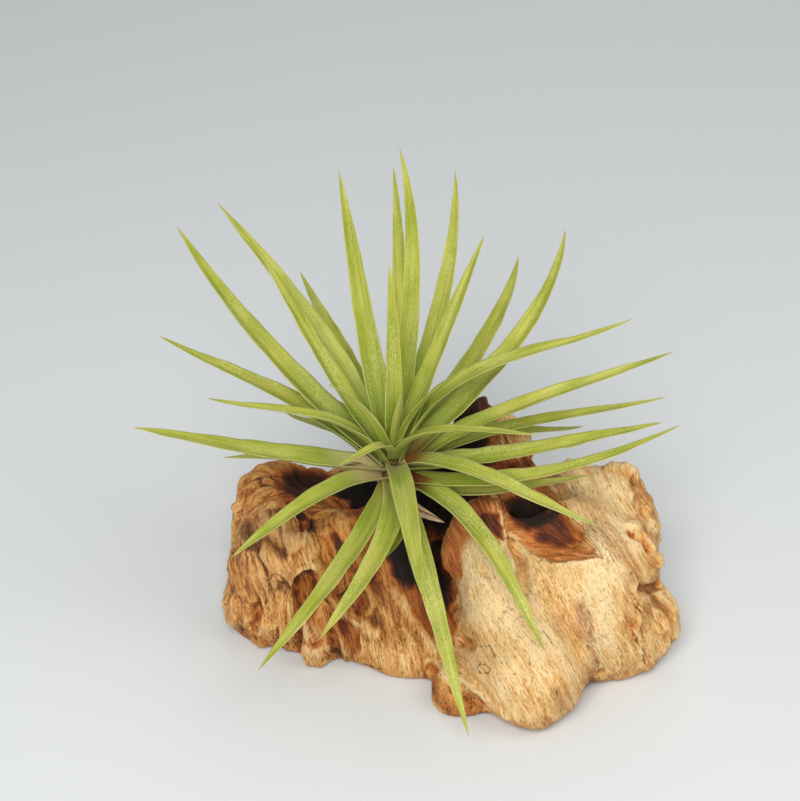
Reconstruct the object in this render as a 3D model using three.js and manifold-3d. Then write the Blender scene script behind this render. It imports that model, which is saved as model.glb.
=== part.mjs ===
// An air plant (tillandsia) seated in the hollow of a driftwood holder.
// Millimetres, +Z up, standing on z = 0. The rosette's heart lies on the Z axis and its front faces -Y.
import * as THREE from "three";
import { mergeVertices } from "three/addons/utils/BufferGeometryUtils.js";
import Module from "manifold-3d";

const wasm = await Module();
wasm.setup();

// ---------------------------------------------------------------- driving dimensions
const HEART_HEIGHT = 100; // the point that all leaves spread from
const SEAT_GAP = 0.3; // left between pieces that touch on the real plant

// Leaves, from the youngest in the heart to the oldest outside. A row holds:
// azimuth and rise of the tip as seen from the heart, in degrees; reach from heart to tip;
// arch, the bow square to that line, upwards; sway, the bow sideways, anticlockwise seen from above;
// lead, above 0 where the bow is fullest near the root; width at the widest; roll about its length.
const YOUNG_LEAVES = [
  [281, 67, 52, 2, 0, 0.8, 4.5, 0],
  [304, 48, 36, 2, -2, 0.4, 4.5, 0],
  [98, 83, 96, 8, 0, -0.4, 8.5, 0],
  [226, 55, 70, 5, -3, 0, 7.5, 0],
  [333, 58, 69, 6, 2, 0.4, 7.5, 0],
  [239, 26, 51, 8, 4, 0.4, 6.5, 0],
  [325, 28, 88, 13, -9, 0.4, 7.5, 0],
];
const ADULT_LEAVES = [
  [45, 58, 110, 4, -3, -0.4, 10.5, 0],
  [148, 51, 113, 4, 7, 0.4, 11, 0],
  [88, 54, 144, 8, -7, -0.4, 10, 0],
  [277, -1, 103, 7, 0, 0.8, 11, 0],
  [106, 48, 138, 4, 2, 0.8, 11, 0],
  [324, 4, 111, 8, -1, 0.8, 11, 0],
  [196, 29, 97, 9, -1, 0.8, 9, 0],
  [6, 32, 127, 14, 6, 0.8, 10.5, 0],
  [75, 39, 147, 3, -7, -0.4, 10, 0],
  [144, 33, 149, 2, 10, 0, 13, 0],
  [193, 16, 122, -3, -1, 0.4, 15, 0],
  [0, 9, 124, -2, -2, 0.4, 14, 0],
  [47, 31, 140, 2, -15, -0.4, 12, 0],
  [132, 34, 150, 14, 2, 0.4, 11, 0],
  [90, 35, 152, 9, -3, 0, 9, 0],
  [155, 16, 126, 6, 0, 0.8, 12, 0],
  [15, 15, 139, 6, 0, 0.8, 12, 0],
  [62, 18, 138, 5, -9, -0.4, 11, 0],
];
const OLD_LEAVES = [
  [22, 0, 141, 3, 5, 0.8, 10.5, 0],
  [251, -19, 102, 3, 10, 0.4, 11, 0],
  [223, -5, 96, 9, 0, 0.4, 11.5, 0],
  [309, -24, 116, 13, 5, 0.4, 11, 0],
  [30, -9, 107, 6, 6, 0.8, 11, 0],
  [110, 11, 140, 8, 0, 0.8, 10.5, 0],
  [352, 13, 133, -4, -13, 0, 11.5, 0],
  [288, -36, 133, 16, -3, 0.8, 10.5, 0],
  [236, -27, 118, 1, 5, 0.4, 10.5, 0],
  [98, 12, 108, 8, 0, 0.4, 10, 0],
  [66, -5, 110, 8, 0, 0.4, 10, 0],
  [124, -15, 98, 8, 0, 0.8, 10, 0],
  [3, -8, 92, -3, -5, 0.4, 10, 0],
  [154, -16, 94, 6, 0, 0.4, 10, 0],
  [84, -10, 118, 10, 0, 0.4, 10, 0],
  [260, -45, 48, 0, 6, 0, 10, 0],
  [112, -14, 118, 10, 0, 0.4, 10, 0],
  [68, -14, 105, 10, 0, 0.4, 10, 0],
];
// Withered leaves at the foot of the rosette, curled as they dried.
const DRY_LEAVES = [
  [318, -34, 38, 5, -8, 0.4, 6.5, 50],
  [236, -50, 26, -3, 6, 0.4, 5.5, -30],
  [205, 4, 30, 5, -6, 0.4, 5.5, 60],
];

const LEAF_STATIONS = 9; // cross-sections along a leaf
const MID_THICKNESS = 1.3; // of a leaf along its fold
const EDGE_THICKNESS = 0.7; // of a leaf along its margins
const CHANNEL_DEPTH = 0.24; // how far the fold lies below the margins, as a share of the width
const ROOT_SHARE = 0.85; // width at the root, as a share of the widest
const ROOT_RADIUS = 3; // how far from the axis the leaves start
const YOUNGEST_ROOT = 4; // height of the youngest leaf's root, from the heart
const OLDEST_ROOT = -17; // height of the oldest leaf's root

// Half profile of the stem, radius and height above its foot.
const STEM_FOOT = 64;
const STEM_PROFILE = [
  [5, 0],
  [6.5, 5],
  [7, 14],
  [6, 26],
  [4.5, 34],
  [2, 38],
];
const STEM_SIDES = 14;

// The driftwood: rounded lobes, each a centre and three radii.
const LOBES = [
  [[-51, 8, 27], [28, 29, 42]], // left lobe
  [[-57, 34, 38], [21, 16, 36]], // its back
  [[-65, 5, 6], [15, 16, 12]], // its foot
  [[-26, 2, 36], [17, 13, 31]], // ridge between the left lobe and the hollow
  [[-12, 1, 14], [42, 23, 24]], // bridge under the plant
  [[9, -27, 7], [19, 13, 13]], // its front edge
  [[0, 6, 44], [17, 17, 34]], // seat of the plant
  [[-36, -17, 8], [5.5, 9, 22]], // stub at the front left
  [[43, -3, 50], [17, 17, 28]], // upper end of the front lobe
  [[52, -24, 36], [20, 22, 28]], // its middle
  [[63, -52, 18], [24, 31, 25]], // its foot
  [[32, -50, 5], [15, 16, 15]], // its lower lip
  [[89, -12, 36], [34, 36, 43]], // right lobe
  [[104, 20, 40], [23, 21, 40]], // its back
  [[104, -27, 12], [20, 16, 18]], // its foot
  [[82, -34, 26], [20, 20, 26]], // saddle between it and the front lobe
  [[122, -14, 20], [15, 15, 16]], // knob at the right
  [[84, 30, 62], [11, 10, 19]], // its rim over the hollow
  [[116, -12, 50], [8, 11, 14]], // hanging knot above the knob
  [[70, 42, 31], [34, 14, 30]], // back wall, right half
  [[39, 51, 68], [13, 11, 35]], // its peak
  [[56, 49, 58], [13, 10, 33]], // the peak's shoulder
  [[16, 46, 28], [30, 14, 34]], // back wall, middle
  [[-26, 45, 34], [44, 13, 31]], // back wall, left half
  [[-46, 54, 12], [15, 12, 15]], // root stub at the back left
  [[34, 57, 9], [22, 11, 13]], // foot at the back
  [[88, 44, 16], [18, 15, 20]], // knee at the back right
  [[30, 8, 8], [84, 41, 16]], // base
];
// What is worn or burnt out of it.
const HOLLOWS = [
  [[6, 33, 84], [36, 17, 38]], // the hollow behind the plant
  [[-36, 22, 80], [20, 13, 21]], // its arm over the left lobe
  [[8, -24, 52], [9, 20, 16]], // gully, upper half
  [[21, -38, 32], [6, 20, 16]], // gully, lower half
  [[71, -18, 76], [21, 12, 15]], // burnt pocket in the right lobe
  [[-41, 5, 62], [6, 10, 13]], // valley between the left lobe and the ridge
  [[-46, -17, 34], [7, 8, 6]], // worn pit
  [[-26, -30, 26], [10, 8, 7]], // worn pit
  [[126, -22, 41], [10, 10, 6]], // notch under the knot
  [[-58, -31, 5], [16, 15, 12]], // undercut at the front left
  [[-10, 66, 34], [10, 12, 30]], // groove down the back
  [[62, 66, 26], [10, 12, 20]], // shallower groove beside it
  [[-16, 46, 68], [9, 14, 8]], // nick in the back rim
];
const LOBE_BLEND = 9; // how softly the lobes flow into each other
const HOLLOW_BLEND = 5; // how softly the hollows are rounded
const WEATHER = 1.6; // height of the weathered swells on its surface
const BURIED = 7; // how far the lobes go on below the ground before they are cut flat there
const WOOD_CELL = 7; // grid that the wood's surface is drawn on
const WOOD_BOX = new THREE.Box3(new THREE.Vector3(-98, -92, -15), new THREE.Vector3(150, 76, 110));

// Colours and roughness, from the photograph.
const YOUNG_GREEN = new THREE.MeshStandardMaterial({ color: 0x9fb35a, roughness: 0.62, metalness: 0 });
const ADULT_GREEN = new THREE.MeshStandardMaterial({ color: 0x8fa548, roughness: 0.62, metalness: 0 });
const OLD_GREEN = new THREE.MeshStandardMaterial({ color: 0x7f9440, roughness: 0.66, metalness: 0 });
const DRY_TAN = new THREE.MeshStandardMaterial({ color: 0x9c8a6a, roughness: 0.85, metalness: 0 });
const STEM_BROWN = new THREE.MeshStandardMaterial({ color: 0x5f4c33, roughness: 0.9, metalness: 0 });
const DRIFTWOOD = new THREE.MeshStandardMaterial({ color: 0xb98a55, roughness: 0.75, metalness: 0 });

// ---------------------------------------------------------------- solids for joining and cutting
const UP = new THREE.Vector3(0, 0, 1);

function solidFrom(geometry) {
  const bare = geometry.clone();
  bare.deleteAttribute("normal");
  bare.deleteAttribute("uv");
  const merged = mergeVertices(bare);
  return new wasm.Manifold(
    new wasm.Mesh({
      numProp: 3,
      vertProperties: merged.attributes.position.array,
      triVerts: new Uint32Array(merged.index.array),
    }),
  );
}

function geometryFrom(solid) {
  const mesh = solid.getMesh();
  const geometry = new THREE.BufferGeometry();
  geometry.setAttribute("position", new THREE.BufferAttribute(new Float32Array(mesh.vertProperties), 3));
  geometry.setIndex(new THREE.BufferAttribute(new Uint32Array(mesh.triVerts), 1));
  const flat = geometry.toNonIndexed();
  flat.computeVertexNormals();
  return flat;
}

// The biggest body of a solid that a cut may have parted.
function largestBody(solid) {
  const bodies = solid.decompose();
  return bodies.reduce((best, body) => (body.volume() > best.volume() ? body : best));
}

// ---------------------------------------------------------------- leaves
// The line along the middle of a leaf, from its root on the stem to its tip. Age runs from 0 to 1.
function leafLine([azimuth, rise, reach, arch, sway, lead], age) {
  const turn = THREE.MathUtils.degToRad(azimuth);
  const lift = THREE.MathUtils.degToRad(rise);
  const outward = new THREE.Vector3(Math.cos(turn), Math.sin(turn), 0);
  const side = new THREE.Vector3(-Math.sin(turn), Math.cos(turn), 0);
  const square = outward.clone().multiplyScalar(-Math.sin(lift)).addScaledVector(UP, Math.cos(lift));
  const heart = new THREE.Vector3(0, 0, HEART_HEIGHT);
  const tip = heart.clone().addScaledVector(outward, reach * Math.cos(lift));
  tip.addScaledVector(UP, reach * Math.sin(lift));
  const root = heart.clone().addScaledVector(outward, ROOT_RADIUS * Math.cos(lift));
  root.z += THREE.MathUtils.lerp(YOUNGEST_ROOT, OLDEST_ROOT, age);
  const bow = square.multiplyScalar(arch).addScaledVector(side, sway).multiplyScalar(4 / 3);
  const nearRoot = root.clone().lerp(tip, 1 / 3).addScaledVector(bow, 1 + lead);
  const nearTip = root.clone().lerp(tip, 2 / 3).addScaledVector(bow, 1 - lead);
  return { line: new THREE.CubicBezierCurve3(root, nearRoot, nearTip, tip), side };
}

// Width of a leaf along its length, as a share of its widest: narrow at the root, long taper to the tip.
function leafTaper(along) {
  const swell = ROOT_SHARE + (1 - ROOT_SHARE) * THREE.MathUtils.smoothstep(along, 0, 0.28);
  return swell * Math.pow(1 - Math.pow(along, 2.4), 0.85);
}

// The six corners of one cross-section: a shallow channel, open to the leaf's upper side.
function leafSection(point, across, normal, along, width, grow) {
  const half = Math.max(width * leafTaper(along), 0.9) / 2 + grow;
  const dip = half * 2 * CHANNEL_DEPTH * (1 - 0.55 * along);
  const middle = THREE.MathUtils.lerp(MID_THICKNESS, EDGE_THICKNESS, along) / 2 + grow;
  const edge = EDGE_THICKNESS / 2 + grow;
  const corner = (x, z) => point.clone().addScaledVector(across, x).addScaledVector(normal, z);
  return [
    corner(-half, dip / 2 + edge),
    corner(0, -dip / 2 + middle),
    corner(half, dip / 2 + edge),
    corner(half, dip / 2 - edge),
    corner(0, -dip / 2 - middle),
    corner(-half, dip / 2 - edge),
  ];
}

// A closed leaf; grow thickens it all round, for cutting its neighbours clear of it.
function leafGeometry(row, age, grow = 0) {
  const { line, side } = leafLine(row, age);
  const [width, roll] = row.slice(6);
  const rings = [];
  for (let station = 0; station <= LEAF_STATIONS; station++) {
    const along = station / LEAF_STATIONS;
    const tangent = line.getTangent(along);
    const across = side.clone().addScaledVector(tangent, -side.dot(tangent)).normalize();
    across.applyAxisAngle(tangent, THREE.MathUtils.degToRad(roll * along));
    const normal = tangent.clone().cross(across);
    rings.push(leafSection(line.getPoint(along), across, normal, along, width, grow));
  }
  return skinRings(rings);
}

// Joins rings of equal length into one closed skin with flat ends.
function skinRings(rings) {
  const count = rings[0].length;
  const last = (rings.length - 1) * count;
  const faces = [];
  for (let ring = 0; ring < rings.length - 1; ring++) {
    for (let k = 0; k < count; k++) {
      const a = ring * count + k;
      const b = ring * count + ((k + 1) % count);
      faces.push(a, b + count, b, a, a + count, b + count);
    }
  }
  faces.push(...channelCap(0, false), ...channelCap(last, true));
  const points = rings.flat().flatMap((p) => [p.x, p.y, p.z]);
  const geometry = new THREE.BufferGeometry();
  geometry.setAttribute("position", new THREE.Float32BufferAttribute(points, 3));
  geometry.setIndex(faces);
  return geometry;
}

// The end face of a channel section: one quad for each half.
function channelCap(first, turned) {
  const corners = [0, 1, 4, 0, 4, 5, 1, 2, 3, 1, 3, 4];
  if (turned) corners.reverse();
  return corners.map((corner) => first + corner);
}

// ---------------------------------------------------------------- stem
function stemGeometry(grow = 0) {
  const profile = [new THREE.Vector2(0, -grow)];
  for (const [radius, height] of STEM_PROFILE) {
    profile.push(new THREE.Vector2(radius + grow, height + (height > 0 ? grow : -grow)));
  }
  profile.push(new THREE.Vector2(0, STEM_PROFILE.at(-1)[1] + grow + 1));
  return new THREE.LatheGeometry(profile, STEM_SIDES).rotateX(Math.PI / 2).translate(0, 0, STEM_FOOT);
}

// ---------------------------------------------------------------- driftwood
// Distance to an ellipsoid, close to true near its surface and negative inside.
function ellipsoid(p, [centre, radii]) {
  const q = [0, 1, 2].map((axis) => (p[axis] - centre[axis]) / radii[axis]);
  const size = Math.hypot(...q);
  const slope = Math.hypot(...q.map((value, axis) => value / radii[axis]));
  return slope === 0 ? -Math.min(...radii) : (size * (size - 1)) / slope;
}

function smoothMin(a, b, blend) {
  const overlap = Math.max(blend - Math.abs(a - b), 0) / blend;
  return Math.min(a, b) - (overlap * overlap * blend) / 4;
}

// Long, uneven swells that weather has left.
function weathering([x, y, z]) {
  const broad = Math.sin(x / 13 + 1.3 * Math.sin(z / 17)) * Math.sin(y / 11 + z / 19 + 0.7);
  const close = Math.sin(x / 7.5 - z / 9 + 2) * Math.sin(y / 6.5 + x / 15 + 1);
  return WEATHER * (broad + 0.6 * close);
}

// Signed distance to the wood: lobes flowing together, less its hollows.
function woodDistance(p) {
  let distance = Infinity;
  for (const lobe of LOBES) distance = smoothMin(distance, ellipsoid(p, lobe), LOBE_BLEND);
  distance -= weathering(p);
  for (const hollow of HOLLOWS) distance = -smoothMin(-distance, ellipsoid(p, hollow), HOLLOW_BLEND);
  return Math.max(distance, -p[2] - BURIED);
}

// Samples of a distance function on a grid of cubic cells.
function sampleGrid(distanceAt, box, cell) {
  const size = box.getSize(new THREE.Vector3());
  const counts = [size.x, size.y, size.z].map((length) => Math.ceil(length / cell) + 1);
  const place = (i, j, k) => [box.min.x + i * cell, box.min.y + j * cell, box.min.z + k * cell];
  const index = (i, j, k) => i + counts[0] * (j + counts[1] * k);
  const values = new Float64Array(counts[0] * counts[1] * counts[2]);
  for (let k = 0; k < counts[2]; k++)
    for (let j = 0; j < counts[1]; j++)
      for (let i = 0; i < counts[0]; i++) values[index(i, j, k)] = distanceAt(place(i, j, k));
  return { counts, place, index, values };
}

const CUBE_CORNERS = [0, 1, 2, 3, 4, 5, 6, 7].map((bits) => [bits & 1, (bits >> 1) & 1, bits >> 2]);
const CUBE_EDGES = CUBE_CORNERS.flatMap((a, n) =>
  CUBE_CORNERS.slice(n + 1)
    .filter((b) => a.filter((value, axis) => value !== b[axis]).length === 1)
    .map((b) => [a, b]),
);

// The surface's point inside one cell: the mean of where it crosses the cell's edges, or null.
function cellPoint(grid, i, j, k) {
  const crossings = [];
  for (const [a, b] of CUBE_EDGES) {
    const from = grid.values[grid.index(i + a[0], j + a[1], k + a[2])];
    const to = grid.values[grid.index(i + b[0], j + b[1], k + b[2])];
    if (from < 0 === to < 0) continue;
    const start = new THREE.Vector3(...grid.place(i + a[0], j + a[1], k + a[2]));
    const end = new THREE.Vector3(...grid.place(i + b[0], j + b[1], k + b[2]));
    crossings.push(start.lerp(end, from / (from - to)));
  }
  if (!crossings.length) return null;
  return crossings.reduce((sum, p) => sum.add(p), new THREE.Vector3()).divideScalar(crossings.length);
}

// The closed surface where a sampled distance is zero, as quads of cell points cut in two.
function surfaceOf(grid) {
  const [nx, ny, nz] = grid.counts;
  const points = [];
  const pointOf = new Map();
  for (let k = 0; k < nz - 1; k++)
    for (let j = 0; j < ny - 1; j++)
      for (let i = 0; i < nx - 1; i++) {
        const point = cellPoint(grid, i, j, k);
        if (point) pointOf.set(grid.index(i, j, k), points.push(point) - 1);
      }
  const faces = [];
  for (let k = 1; k < nz - 1; k++)
    for (let j = 1; j < ny - 1; j++)
      for (let i = 1; i < nx - 1; i++)
        for (let axis = 0; axis < 3; axis++) {
          faces.push(...crossingFaces(grid, pointOf, points, [i, j, k], axis));
        }
  const geometry = new THREE.BufferGeometry().setFromPoints(points);
  geometry.setIndex(faces);
  return geometry;
}

// Two triangles through the four cells around one grid edge that the surface crosses.
function crossingFaces(grid, pointOf, points, node, axis) {
  const next = node.map((value, n) => value + (n === axis ? 1 : 0));
  const inside = grid.values[grid.index(...node)] < 0;
  if (inside === grid.values[grid.index(...next)] < 0) return [];
  const [u, v] = [(axis + 1) % 3, (axis + 2) % 3];
  const around = [[-1, -1], [0, -1], [0, 0], [-1, 0]].map(([du, dv]) => {
    const cell = [...node];
    cell[u] += du;
    cell[v] += dv;
    return pointOf.get(grid.index(...cell));
  });
  if (!inside) around.reverse();
  const [a, b, c, d] = around;
  const short = points[a].distanceTo(points[c]) < points[b].distanceTo(points[d]);
  return short ? [a, b, c, a, c, d] : [a, b, d, b, c, d];
}

// The whole holder, cut flat where it stands and with a seat for the stem.
function driftwoodSolid() {
  const lump = solidFrom(surfaceOf(sampleGrid(woodDistance, WOOD_BOX, WOOD_CELL)));
  const size = WOOD_BOX.getSize(new THREE.Vector3());
  const middle = WOOD_BOX.getCenter(new THREE.Vector3());
  const above = new THREE.BoxGeometry(size.x, size.y, size.z).translate(middle.x, middle.y, size.z / 2);
  const standing = lump.intersect(solidFrom(above));
  return largestBody(standing.subtract(solidFrom(stemGeometry(SEAT_GAP))));
}

// ---------------------------------------------------------------- the assembly
const airPlant = new THREE.Group();
airPlant.name = "air_plant";

function addPiece(name, solid, material) {
  const mesh = new THREE.Mesh(geometryFrom(solid), material);
  mesh.name = name;
  airPlant.add(mesh);
}

// Grows the leaves outwards from the heart: each is cut clear of the stem and of those before it.
function addLeaves() {
  const count = YOUNG_LEAVES.length + ADULT_LEAVES.length + OLD_LEAVES.length + DRY_LEAVES.length;
  let taken = solidFrom(stemGeometry(SEAT_GAP));
  let grown = 0;
  const grow = (rows, prefix, material) => {
    rows.forEach((row, n) => {
      const age = grown++ / (count - 1);
      const leaf = largestBody(solidFrom(leafGeometry(row, age)).subtract(taken));
      addPiece(`${prefix}_${String(n + 1).padStart(2, "0")}`, leaf, material);
      taken = taken.add(solidFrom(leafGeometry(row, age, SEAT_GAP)));
    });
  };
  grow(YOUNG_LEAVES, "young_leaf", YOUNG_GREEN);
  grow(ADULT_LEAVES, "leaf", ADULT_GREEN);
  grow(OLD_LEAVES, "old_leaf", OLD_GREEN);
  grow(DRY_LEAVES, "dry_leaf", DRY_TAN);
}

addPiece("driftwood", driftwoodSolid(), DRIFTWOOD);
addPiece("stem", solidFrom(stemGeometry()), STEM_BROWN);
addLeaves();

export default airPlant;
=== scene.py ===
# %% [markdown]
# # An air plant on driftwood
# An air plant grows without soil. This one is a rosette of narrow, channelled leaves with a dusty bloom,
# and it sits in the hollow of a weathered root that was scorched where it was carved out. The solids made
# in CAD say where every leaf and the wood are. This lesson dresses them: each leaf becomes a thin living
# blade with veins and pale margins, and the wood gets fibres, cracks and burnt hollows.

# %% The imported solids, loaded as a fixed frame
import itertools
import math

import bpy
import numpy as np
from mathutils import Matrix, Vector
from mathutils.bvhtree import BVHTree


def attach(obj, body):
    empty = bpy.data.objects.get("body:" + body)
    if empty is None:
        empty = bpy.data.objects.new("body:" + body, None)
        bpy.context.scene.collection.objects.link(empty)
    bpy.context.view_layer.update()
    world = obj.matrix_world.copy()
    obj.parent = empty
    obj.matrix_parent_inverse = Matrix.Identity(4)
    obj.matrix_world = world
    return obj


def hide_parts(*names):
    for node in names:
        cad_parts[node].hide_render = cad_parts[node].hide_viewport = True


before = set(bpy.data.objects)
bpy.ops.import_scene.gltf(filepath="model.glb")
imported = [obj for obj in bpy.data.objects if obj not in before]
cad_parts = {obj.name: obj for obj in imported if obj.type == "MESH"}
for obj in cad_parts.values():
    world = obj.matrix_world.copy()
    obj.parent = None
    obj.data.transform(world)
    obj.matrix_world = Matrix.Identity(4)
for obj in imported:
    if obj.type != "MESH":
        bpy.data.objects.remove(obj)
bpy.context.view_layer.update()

MM = 0.001

# %% [markdown]
# ## Camera
# A photograph fixes three things: where the camera stood, which way it looked and how long its lens was.
# A round rim or a straight edge usually tells the tilt. Here the flat foot of the wood does: its back and
# front edges lie as far apart as they would seen from 32 degrees above the horizon. With the camera placed
# that way, any pixel of the photograph becomes a line of sight into the scene, which later lays the marks
# of the wood in their places.

# %% The camera, at the photograph's angle
PIXEL = 0.459 * MM  # what one pixel of the photograph spans at the plant
PHOTO_WIDTH, PHOTO_HEIGHT = 800, 801
TILT = math.radians(32)
DISTANCE = 1.0
SENSOR = 36
AIM = Vector((3.2, 14, 122.4)) * MM  # the place in the middle of the picture
PICTURE_RIGHT = Vector((1, 0, 0))
PICTURE_UP = Vector((0, math.sin(TILT), math.cos(TILT)))
TOWARD_CAMERA = Vector((0, -math.cos(TILT), math.sin(TILT)))

camera = bpy.data.objects.new("camera", bpy.data.cameras.new("camera"))
bpy.context.scene.collection.objects.link(camera)
camera.location = AIM + TOWARD_CAMERA * DISTANCE
camera.rotation_euler = (math.pi / 2 - TILT, 0, 0)
camera.data.sensor_width = SENSOR
camera.data.lens = SENSOR * DISTANCE / (PIXEL * PHOTO_HEIGHT)
bpy.context.scene.camera = camera
print("lens in mm:", round(camera.data.lens, 1))


def sight(x, y):
    """Which way one looks from the camera through a pixel of the photograph."""
    across = PICTURE_RIGHT * ((x - PHOTO_WIDTH / 2) * PIXEL)
    upward = PICTURE_UP * ((PHOTO_HEIGHT / 2 - y) * PIXEL)
    return (across + upward - TOWARD_CAMERA * DISTANCE).normalized()


# %% [markdown]
# ## Values that shaders are written with
# A shader is a net of small boxes, and wiring sums box by box is slow to read. Wrapping a socket in a
# class that knows plus, minus and times lets the same net be written as ordinary expressions. Colours are
# different: a maths box would turn them grey, so they only ever go through mixing boxes.

# %% One class for shader values and one for a material
class Value:
    """A number that differs from place to place on a surface."""

    def __init__(self, paint, socket):
        self.paint, self.socket = paint, socket

    def sum_with(self, operation, other, turned=False):
        first, second = (other, self) if turned else (self, other)
        return self.paint.node("ShaderNodeMath", {"operation": operation}, {0: first, 1: second})

    def __add__(self, other):
        return self.sum_with("ADD", other)

    def __sub__(self, other):
        return self.sum_with("SUBTRACT", other)

    def __rsub__(self, other):
        return self.sum_with("SUBTRACT", other, turned=True)

    def __mul__(self, other):
        return self.sum_with("MULTIPLY", other)

    __radd__, __rmul__ = __add__, __mul__

    def most(self, other):
        """The larger of the two."""
        return self.sum_with("MAXIMUM", other)

    def rise(self, low, high):
        """0 up to low, 1 from high, and a soft slope between."""
        return self.paint.node(
            "ShaderNodeMapRange",
            {"interpolation_type": "SMOOTHSTEP", "clamp": True},
            {"Value": self, "From Min": low, "From Max": high},
        )


class Paint:
    """A material and the boxes behind its shader."""

    def __init__(self, name):
        self.material = bpy.data.materials.new(name)
        self.material.use_nodes = True
        self.tree = self.material.node_tree
        self.shader = self.tree.nodes["Principled BSDF"]

    def join(self, value, socket):
        if isinstance(value, Value):
            self.tree.links.new(value.socket, socket)
        else:
            socket.default_value = value

    def node(self, kind, settings={}, inputs={}, output=0):
        """Any node: its settings come first, then values or links for its sockets."""
        box = self.tree.nodes.new(kind)
        for name, setting in settings.items():
            if name == "stops":
                self.set_stops(box.color_ramp, setting)
            else:
                setattr(box, name, setting)
        for name, value in inputs.items():
            self.join(value, box.inputs[name])
        return Value(self, box.outputs[output])

    def set_stops(self, ramp, stops):
        while len(ramp.elements) < len(stops):
            ramp.elements.new(0.5)
        for element, (position, colour) in zip(ramp.elements, stops):
            element.position, element.color = position, colour

    def surface(self, **sockets):
        """Sets the shader's own sockets, named with _ for a space."""
        for name, value in sockets.items():
            self.join(value, self.shader.inputs[name.replace("_", " ")])

    def mixed(self, factor, first, second, settings):
        """Two colours through a mixing box, whose colour sockets are numbers 6 and 7."""
        return self.node("ShaderNodeMix", settings, {0: factor, 6: first, 7: second}, output=2)

    def blend(self, factor, under, over):
        """The colour under, going over to the other where factor is 1."""
        return self.mixed(factor, under, over, {"data_type": "RGBA"})

    def shade(self, factor, colour, by):
        """Colour multiplied by another, as much as factor says."""
        return self.mixed(factor, colour, by, {"data_type": "RGBA", "blend_type": "MULTIPLY"})

    def kept(self, name):
        """The three numbers kept at each point of the mesh under a name, and all three as one vector."""
        source = self.tree.nodes.new("ShaderNodeAttribute")
        source.attribute_name = name
        vector = Value(self, source.outputs["Vector"])
        parts = [self.node("ShaderNodeSeparateXYZ", {}, {0: vector}, output=n) for n in range(3)]
        return [*parts, vector]

    def scaled(self, vector, by):
        """A vector with its three parts multiplied by three numbers."""
        return self.node("ShaderNodeVectorMath", {"operation": "MULTIPLY"}, {0: vector, 1: by})

    def uneven(self, vector, detail=3, roughness=0.5):
        """Cloudy noise about 0.5, with swells one unit of the vector across."""
        inputs = {"Vector": vector, "Scale": 1.0, "Detail": detail, "Roughness": roughness}
        return self.node("ShaderNodeTexNoise", {}, inputs)

    def relief(self, height, depth, strength=1.0):
        """Makes height dent the light by up to depth, in metres."""
        bump = self.node("ShaderNodeBump", {}, {"Height": height, "Distance": depth, "Strength": strength})
        self.surface(Normal=bump)


def light_of(channel):
    """How much light one channel of a screen colour stands for, both 0 to 1."""
    return channel / 12.92 if channel <= 0.04045 else ((channel + 0.055) / 1.055) ** 2.4


def colour(red, green, blue):
    """A colour as a screen shows it, 0 to 255, in the linear numbers that shaders use."""
    return (*(light_of(channel / 255) for channel in (red, green, blue)), 1.0)


print("a middle grey is", round(colour(128, 128, 128)[0], 3), "in linear numbers")

# %% [markdown]
# ## Floor and light
# A plain pale floor shows the object and nothing else. The photograph has the soft, nearly shadowless
# light of a studio: one large window of light up in front, a weaker one on the right and pale air all
# round. Large lamps give soft shadows, because each point of the floor sees part of the lamp.

# %% A plain pale floor and soft studio light
FLOOR_HALF = 3.0
floor_mesh = bpy.data.meshes.new("floor")
floor_corners = [(x * FLOOR_HALF, y * FLOOR_HALF, 0) for x, y in ((-1, -1), (1, -1), (1, 1), (-1, 1))]
floor_mesh.from_pydata(floor_corners, [], [(0, 1, 2, 3)])
floor = bpy.data.objects.new("floor", floor_mesh)
bpy.context.scene.collection.objects.link(floor)
PALE_GREY = colour(216, 220, 221)
floor_paint = Paint("floor paper")
floor_paint.surface(Base_Color=PALE_GREY, Roughness=0.75, Specular_IOR_Level=0.2)
floor_mesh.materials.append(floor_paint.material)


def add_lamp(name, place, size, power, tint):
    """A square lamp that faces the plant."""
    lamp = bpy.data.objects.new(name, bpy.data.lights.new(name, "AREA"))
    bpy.context.scene.collection.objects.link(lamp)
    lamp.data.size, lamp.data.energy, lamp.data.color = size, power, tint
    lamp.location = place
    lamp.rotation_euler = (AIM - Vector(place)).to_track_quat("-Z", "Y").to_euler()


# Each row: a name, the place and the size in metres, the power in watts and the tint.
LAMPS = [
    ["window above", (-0.2, -1.25, 1.2), 0.9, 28, (1, 0.98, 0.95)],
    ["window right", (1.2, -0.5, 1.4), 1.1, 9, (1, 0.98, 0.96)],
    ["glow behind", (0.2, 1.3, 1.2), 1.2, 4, (1, 0.98, 0.96)],
]
AIR_TINT = (0.93, 0.96, 1, 1)
AIR_STRENGTH = 0.3
for row in LAMPS:
    add_lamp(*row)
air = bpy.data.worlds.new("studio air")
bpy.context.scene.world = air
air.use_nodes = True
air.node_tree.nodes["Background"].inputs["Color"].default_value = AIR_TINT
air.node_tree.nodes["Background"].inputs["Strength"].default_value = AIR_STRENGTH
bpy.context.scene.view_settings.view_transform = "Standard"
print("lamps:", len(LAMPS), "and pale air all round")

# %% [markdown]
# ## Unevenness
# Grown and weathered things are uneven in a smooth way. Value noise gives that: each corner of a grid gets
# a number that depends only on its place, and points between are blended. Nothing is drawn by chance, so
# the same plant grows each time. Adding ever finer layers makes it rough like bark.

# %% Smooth and rough noise for the points of a mesh
# Large odd numbers that scatter the bits of a corner's place, and the 16 bits that are kept in the end.
AXIS_SCATTER = [np.uint64(number) for number in (73856093, 19349663, 83492791)]
SEED_SCATTER = 2654435761
LAST_SCATTER = np.uint64(0x9E3779B97F4A7C15)
KEPT_BITS = np.uint64(0xFFFF)
LAYER_FINENESS, LAYER_SHIFT = 2.03, 17.3


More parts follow.
